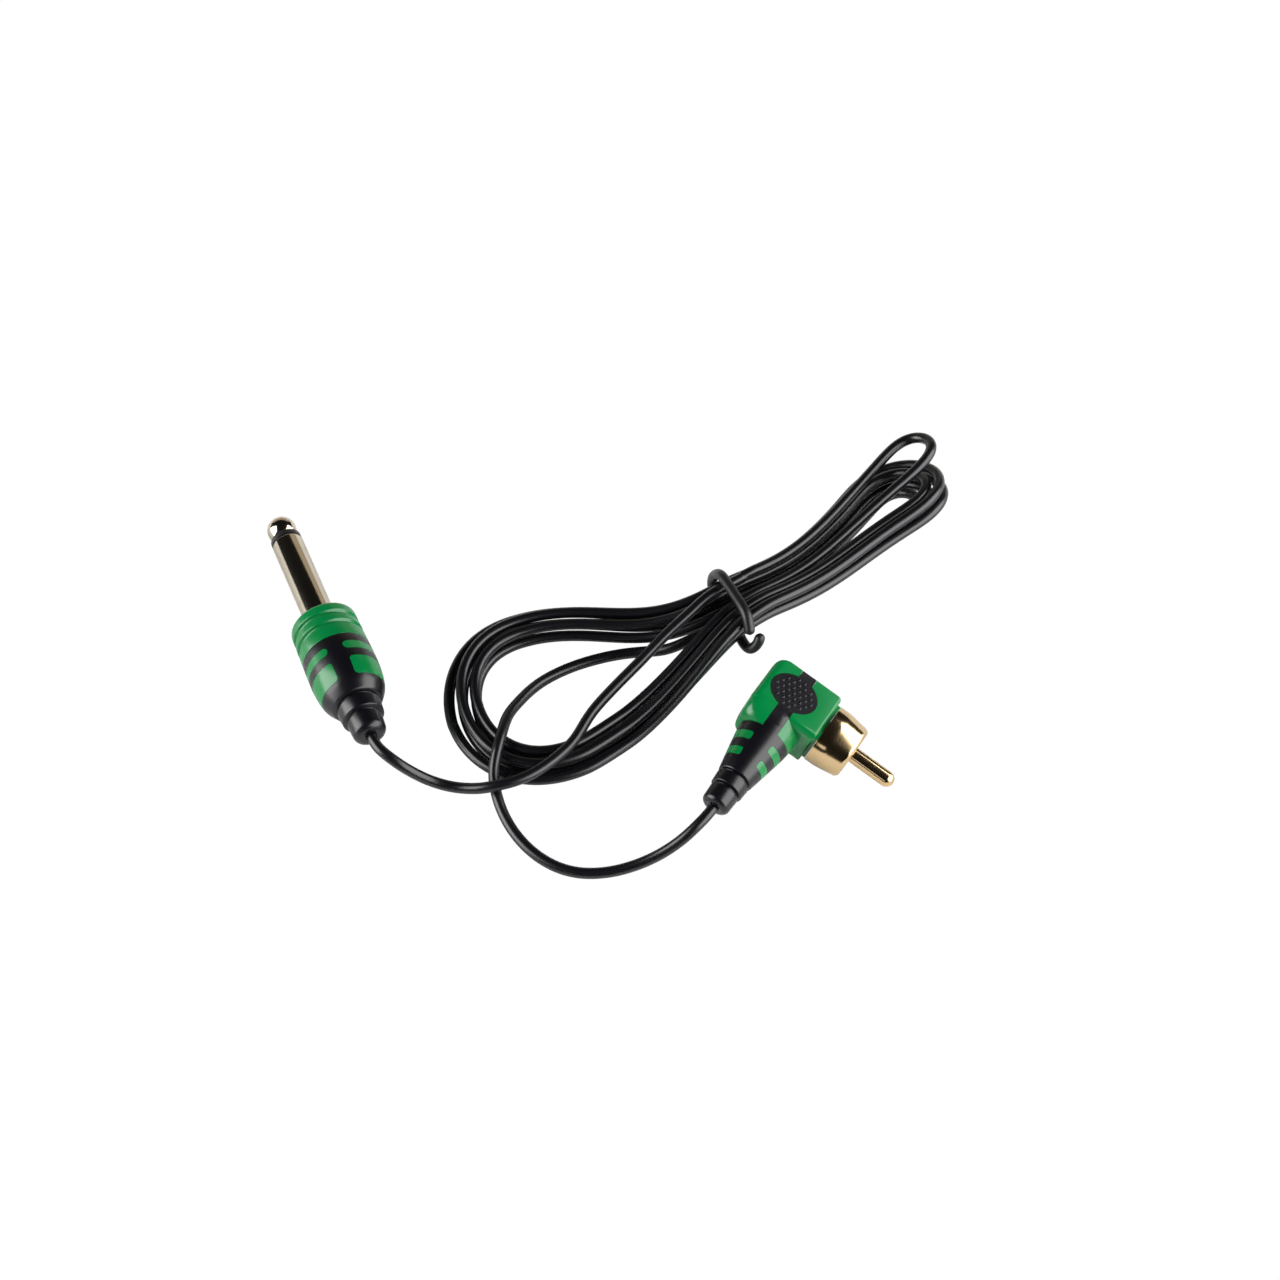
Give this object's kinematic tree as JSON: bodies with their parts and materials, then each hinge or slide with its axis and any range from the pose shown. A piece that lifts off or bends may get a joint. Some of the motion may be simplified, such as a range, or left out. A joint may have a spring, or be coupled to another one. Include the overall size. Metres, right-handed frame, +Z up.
{
  "type": "instrument cable",
  "caption": "Instrument cable with a straight 6.35 mm phone plug, a right-angle phono plug with a thumb pad, and a thin lead wound into a tied hank.",
  "frame": {"origin": "under the middle of the two plugs' bounding box, on the surface that the plugs and the cable lie on", "axes": "+X from the phone plug towards the phono plug, +Y towards the back of the picture, +Z up"},
  "size_m": [0.1379, 0.0974, 0.0177],
  "materials": {
    "green_plastic": "satin injection moulded plastic, mid green",
    "black_plastic": "satin soft black overmould",
    "cable_jacket": "glossy black jacket",
    "tie_rubber": "matte black coated wire",
    "pale_gold": "polished pale gold plating",
    "rich_gold": "polished gold plating",
    "insulator_black": "black insulator",
    "insulator_white": "off-white insulator",
    "tinned_steel": "tinned strip",
    "solder": "solder",
    "copper": "bare copper"
  },
  "bodies": {
    "root": {"jack_tip": "pale_gold", "jack_tip_insulator": "insulator_black", "jack_insulating_tube": "insulator_white", "jack_sleeve": "pale_gold", "jack_rear_washer": "insulator_black", "jack_tip_lug": "tinned_steel", "jack_core_solder": "solder", "jack_core_wire": "copper", "jack_sleeve_lug": "tinned_steel", "jack_shield_tail": "copper", "jack_cable_end": "cable_jacket", "jack_green_body": "green_plastic", "jack_black_overmould": "black_plastic", "rca_pin": "rich_gold", "rca_collar": "rich_gold", "rca_dielectric": "insulator_white", "rca_ground_lug": "tinned_steel", "rca_core_solder": "solder", "rca_core_wire": "copper", "rca_shield_tail": "copper", "rca_cable_end": "cable_jacket", "rca_green_body": "green_plastic", "rca_black_overmould": "black_plastic", "cable_jack_lead": "cable_jacket", "cable_rca_lead": "cable_jacket", "cable_hank": "cable_jacket", "cable_tie": "tie_rubber"}
  },
  "joints": []
}
